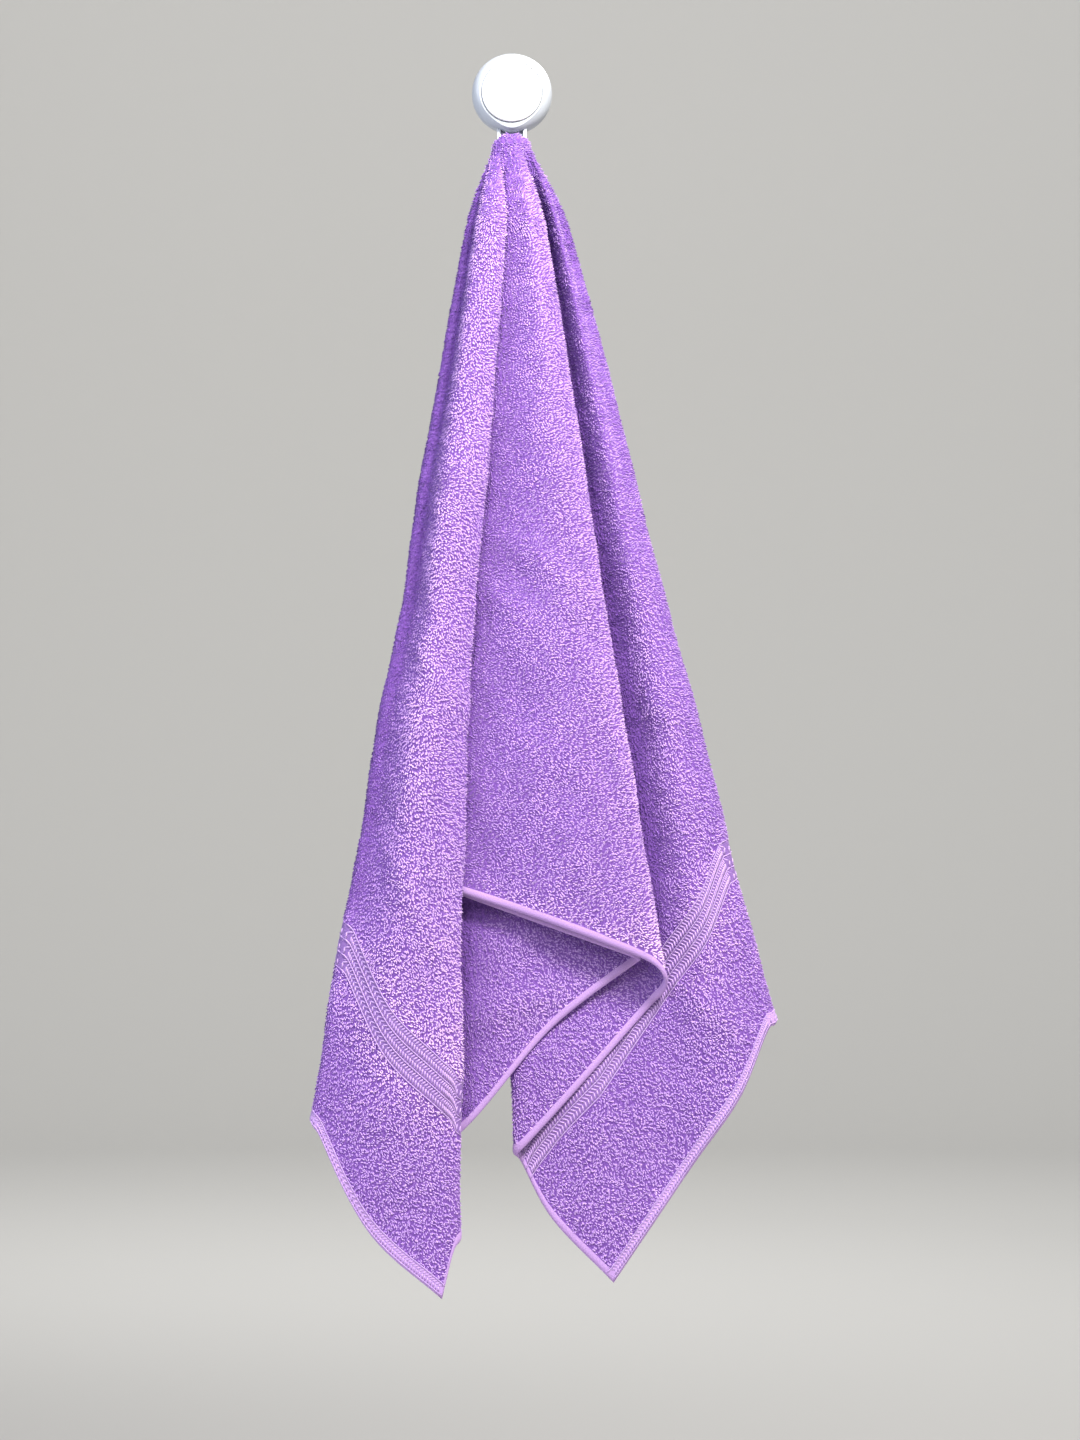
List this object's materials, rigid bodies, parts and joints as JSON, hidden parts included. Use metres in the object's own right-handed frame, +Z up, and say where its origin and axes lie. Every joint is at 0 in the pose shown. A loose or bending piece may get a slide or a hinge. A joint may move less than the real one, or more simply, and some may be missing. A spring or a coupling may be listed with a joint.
{
  "type": "bath towel on a wall hook",
  "caption": "Terry bath towel draped in long folds over the upturned finger of a small round wall hook.",
  "frame": {"origin": "middle of the hook body's flat back, on the wall", "axes": "+Z up; +Y into the wall, so the front faces -Y; +X to the right seen from the front"},
  "size_m": [0.3715, 0.0662, 0.989],
  "materials": {
    "white_plastic": "smooth moulded",
    "lilac_terry": "looped terry pile"
  },
  "bodies": {
    "root": {"hook_body": "white_plastic", "hook_button": "white_plastic", "towel": "lilac_terry"}
  },
  "joints": []
}
